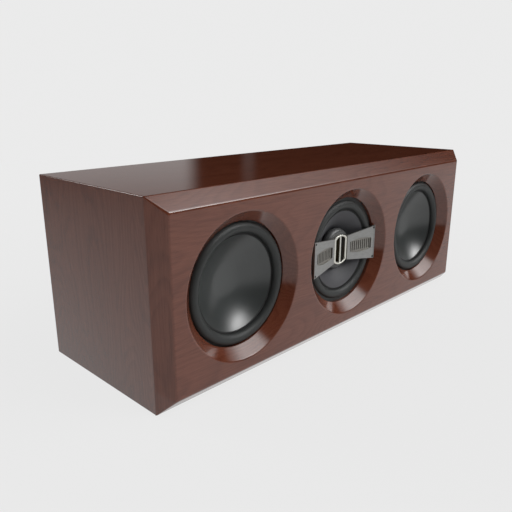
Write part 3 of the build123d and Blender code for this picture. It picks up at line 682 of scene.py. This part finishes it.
def edge_cutter():
    """What is sanded off round the front: a skin of the bevel, its two edges and its mitres rolled."""
    bevel = BEVEL * 1000
    reach = bevel + SKIN / SLOPE
    section = rolled((0, reach), (0, 1), (SLOPE, -SLOPE), OUTER_ROUND)
    section += rolled((reach, 0), (-SLOPE, SLOPE), (1, 0), FACE_ROUND)
    section += [(section[-1][0], -CLEAR), (bevel - FRONT_SLACK, -CLEAR)]
    section += [(-CLEAR, bevel - SIDE_SLACK), (-CLEAR, section[0][1])]
    loops = []
    for quarter, (side_x, side_z) in enumerate(((1, 1), (-1, 1), (-1, -1), (1, -1))):
        for k in range(CORNER_STEPS + 1):
            turn = math.radians(90.0 * quarter + 90.0 / CORNER_STEPS * k)
            loop = []
            for inset, depth in section:
                grown = min(max(inset / CORNER_RUN, 0.0), 1.0)
                corner = OUTER_CORNER + (MITRE_ROUND - OUTER_CORNER) * grown
                x = side_x * (HALF_WIDTH * 1000 - inset - corner) + corner * math.cos(turn)
                z = side_z * (HEIGHT * 500 - inset - corner) + corner * math.sin(turn)
                loop.append((x / 1000, FRONT + depth / 1000, AXIS_Z + z / 1000))
            loops.append(loop)
    return ring("edge_cutter", loops)


def flare_cutter(centre_x):
    """Plug of one driver's mouth: rolled lip, flare and throat, a skin wider than the frame's own."""
    lip = rolled((MOUTH + SKIN, 0), (1, 0), (-SLOPE, SLOPE), LIP_ROUND)
    bottom = SEAT + 1.0
    profile = [(0.0, -CLEAR), (lip[0][0], -CLEAR)] + lip
    profile += [(THROAT + SKIN, FLARE_DEPTH), (THROAT + SKIN, bottom), (0.0, bottom)]
    return lathe("flare_cutter", profile, centre_x)


def baffle_cutter():
    """The edge and flare cutters as one object, so that all are cut at once."""
    first, *others = [edge_cutter()] + [flare_cutter(centre_x) for centre_x in DRIVER_X.values()]
    shell = bmesh.new()
    for cutter in (first, *others):
        shell.from_mesh(cutter.data)
    shell.to_mesh(first.data)
    shell.free()
    for cutter in others:
        bpy.data.objects.remove(cutter)
    return first


def eased_baffle():
    """The baffle of the frame, with its edges, mitres and flare lips sanded round under the lacquer.

    The frame's own baffle stays where the cut leaves the mesh open or takes too much away.
    """
    node = "front_baffle"
    mesh = frame["nodes"][node].data.copy()
    welded(mesh, BAFFLE_WELD)
    whole = closed_volume(mesh)
    obj = placed("front_baffle_eased", mesh)
    subtract(obj, baffle_cutter())
    welded(obj.data, BAFFLE_WELD)
    eased = closed_volume(obj.data)
    if not whole or not eased or not LEAST_KEPT * whole < eased < whole:
        bpy.data.objects.remove(obj)
        return
    smoothed(obj.data, BAFFLE_CREASE)
    flat = obj.modifiers.new("flat", "WEIGHTED_NORMAL")
    flat.keep_sharp = True
    flat.weight = 100
    settled(obj)
    dress(obj, materials["baffle"])
    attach(obj, "cabinet")
    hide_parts(node)


eased_baffle()


# Stage: pools are (x, y, radius, strength) in metres

PALE = 0.828
FLOOR_REACH = 12.0
SHADOW_POOL = (0.0, 0.0, 0.75, 0.07)
FRONT_POOL = (0.1, -0.25, 2.0, 0.645)
SIDE_POOL = (1.8, -1.0, 1.1, 0.38)
UNDER_POOL = (0.0, -0.1, 0.45, 0.30)
UNDER_FROM = -0.122


def make_floor():
    """Pale floor: evenly bright to the camera but for the object's shadow, with pools of light that
    only mirroring surfaces see."""
    mesh = bpy.data.meshes.new("floor")
    corners = [(-FLOOR_REACH, -FLOOR_REACH, 0), (FLOOR_REACH, -FLOOR_REACH, 0),
               (FLOOR_REACH, FLOOR_REACH, 0), (-FLOOR_REACH, FLOOR_REACH, 0)]
    mesh.from_pydata(corners, [], [(0, 1, 2, 3)])
    floor = placed("floor", mesh)
    graph = Graph("pale_floor")
    graph.set(Base_Color=(PALE, PALE, PALE, 1.0), Roughness=0.9, Specular_IOR_Level=0.1)
    x, y, _ = graph.split(graph.position())

    def pool(middle_x, middle_y, radius, strength):
        across = graph.math("POWER", graph.math("SUBTRACT", x, middle_x), 2.0)
        along = graph.math("POWER", graph.math("SUBTRACT", y, middle_y), 2.0)
        fall = graph.math("MULTIPLY", graph.math("ADD", across, along), -1.0 / radius ** 2)
        return graph.math("MULTIPLY", graph.math("EXPONENT", fall), strength)

    rays, mirrored = graph.mirrored_rays()
    seen = rays["Is Camera Ray"]
    far = graph.math("SUBTRACT", 1.0, pool(*SHADOW_POOL))
    share = graph.math("MAXIMUM", graph.math("MULTIPLY", seen, far), mirrored)
    lit = graph.math("ADD", pool(*FRONT_POOL), pool(*SIDE_POOL))
    under = graph.math("GREATER_THAN", y, UNDER_FROM)
    lit = graph.math("ADD", lit, graph.math("MULTIPLY", under, pool(*UNDER_POOL)))
    glow = graph.add("ShaderNodeEmission")
    graph.link(graph.weighted((seen, PALE), (mirrored, lit)), glow.inputs["Strength"])
    blend = graph.add("ShaderNodeMixShader")
    graph.link(share, blend.inputs[0])
    graph.link(graph.shader.outputs[0], blend.inputs[1])
    graph.link(glow.outputs[0], blend.inputs[2])
    graph.link(blend.outputs[0], graph.output.inputs[0])
    mesh.materials.append(graph.material)


# Light: edges are pairs, where it is dark and where it is full

KEY_AZIMUTH = 138.0
KEY_ELEVATION = 42.0
KEY_RADIANCE = 2.8
KEY_LEFT, KEY_RIGHT = (-0.52, -0.15), (0.47, 0.20)
KEY_FOOT, KEY_HEAD = (-0.42, -0.16), (0.42, 0.14)
KEY_AHEAD = (0.1, 0.2)
SPILL_RADIANCE = 0.93
SPILL_LEFT = (-0.80, -0.50)
CORE_RADIANCE = 12.0
CORE_U, CORE_V = 0.06, -0.21
CORE_WIDE, CORE_TALL = 0.24, 0.06

FILL = 0.24

BACKDROP_RADIANCE = 0.40
BACKDROP_SIDE = (-1.0, 0.815, 0.0)
BACKDROP_EDGE = (-0.022, 0.026)
BACKDROP_HEAD, BACKDROP_BEHIND = (0.30, 0.12), (-0.2, 0.0)
SLIT_RADIANCE = 0.05
SLIT_SIDE = (-1.0, 1.0, 0.0)
SLIT_LEFT, SLIT_RIGHT = (-0.025, -0.004), (0.025, 0.004)

RIM_RADIANCE = 7.0
RIM_SIDE = (0.94, 0.342, 0.0)
RIM_LEFT, RIM_RIGHT = (-0.16, -0.12), (0.16, 0.12)
RIM_FOOT, RIM_HEAD = (0.36, 0.40), (0.64, 0.60)
RIM_BEHIND = (0.1, 0.2)


def make_world():
    """Pale to the camera. Otherwise a dim studio: one large softbox high at the right of the front with a
    bright core, a strip behind for the top's rim, an even fill for matt surfaces, and a pale backdrop
    low behind the object for what is mirrored."""
    world = bpy.data.worlds.new("studio")
    bpy.context.scene.world = world
    world.use_nodes = True
    nodes = Nodes(world.node_tree)
    heading = nodes.add("ShaderNodeTexCoord").outputs["Generated"]

    def along(axis):
        node = nodes.add("ShaderNodeVectorMath", operation="DOT_PRODUCT")
        nodes.feed(node.inputs[0], heading)
        nodes.feed(node.inputs[1], axis)
        return node.outputs["Value"]

    turn, rise = math.radians(KEY_AZIMUTH), math.radians(KEY_ELEVATION)
    level = (math.sin(turn), math.cos(turn), 0.0)
    ahead = along((level[0] * math.cos(rise), level[1] * math.cos(rise), math.sin(rise)))
    side = along((level[1], -level[0], 0.0))
    up = along((-level[0] * math.sin(rise), -level[1] * math.sin(rise), math.cos(rise)))
    depth = nodes.math("MAXIMUM", ahead, 0.001)
    u = nodes.math("DIVIDE", side, depth)
    v = nodes.math("DIVIDE", up, depth)
    tall = nodes.window(v, KEY_FOOT, KEY_HEAD)
    softbox = nodes.product(nodes.window(u, KEY_LEFT, KEY_RIGHT), tall)
    spill = nodes.product(nodes.window(u, SPILL_LEFT, KEY_RIGHT), tall)
    off_u = nodes.math("DIVIDE", nodes.math("SUBTRACT", u, CORE_U), CORE_WIDE)
    off_v = nodes.math("DIVIDE", nodes.math("SUBTRACT", v, CORE_V), CORE_TALL)
    away = nodes.weighted((off_u, off_u), (off_v, off_v))
    core = nodes.math("EXPONENT", nodes.math("MULTIPLY", away, -1.0))
    key = nodes.weighted((softbox, KEY_RADIANCE), (spill, SPILL_RADIANCE), (core, CORE_RADIANCE))
    key = nodes.product(key, nodes.rise(ahead, *KEY_AHEAD))

    behind, height = along((0.0, 1.0, 0.0)), along((0.0, 0.0, 1.0))
    low = nodes.product(nodes.rise(height, *BACKDROP_HEAD), nodes.rise(behind, *BACKDROP_BEHIND))
    sheet = nodes.product(nodes.rise(along(BACKDROP_SIDE), *BACKDROP_EDGE), low)
    slit = nodes.product(nodes.window(along(SLIT_SIDE), SLIT_LEFT, SLIT_RIGHT), low)
    backdrop = nodes.weighted((sheet, BACKDROP_RADIANCE), (slit, SLIT_RADIANCE))
    rim = nodes.product(nodes.window(along(RIM_SIDE), RIM_LEFT, RIM_RIGHT), nodes.rise(behind, *RIM_BEHIND),
                        nodes.window(height, RIM_FOOT, RIM_HEAD))

    rays, mirrored = nodes.mirrored_rays()
    matt = nodes.math("SUBTRACT", 1.0, mirrored)
    light = nodes.math("ADD", key, nodes.weighted((rim, RIM_RADIANCE), (matt, FILL), (mirrored, backdrop)))
    seen = rays["Is Camera Ray"]
    unseen = nodes.math("SUBTRACT", 1.0, seen)
    ground = nodes.add("ShaderNodeBackground")
    nodes.feed(ground.inputs["Color"], (1.0, 1.0, 1.0, 1.0))
    nodes.feed(ground.inputs["Strength"], nodes.weighted((light, unseen), (seen, PALE)))
    nodes.link(ground.outputs[0], nodes.add("ShaderNodeOutputWorld").inputs[0])


# Camera of the photograph, as its box edges give it

CAMERA_PLACE = (-0.5742, -0.4954, 0.3045)
CAMERA_TURN = -45.791
CAMERA_DIP = 16.368
SENSOR_WIDTH = 36.0
LENS = 38.285


def make_camera():
    data = bpy.data.cameras.new("camera")
    data.sensor_width = SENSOR_WIDTH
    data.lens = LENS
    data.clip_start = 0.01
    camera = placed("camera", data)
    camera.location = CAMERA_PLACE
    camera.rotation_euler = (math.radians(90.0 - CAMERA_DIP), 0.0, math.radians(CAMERA_TURN))
    bpy.context.scene.camera = camera


make_floor()
make_world()
make_camera()
bpy.context.scene.view_settings.view_transform = "Standard"
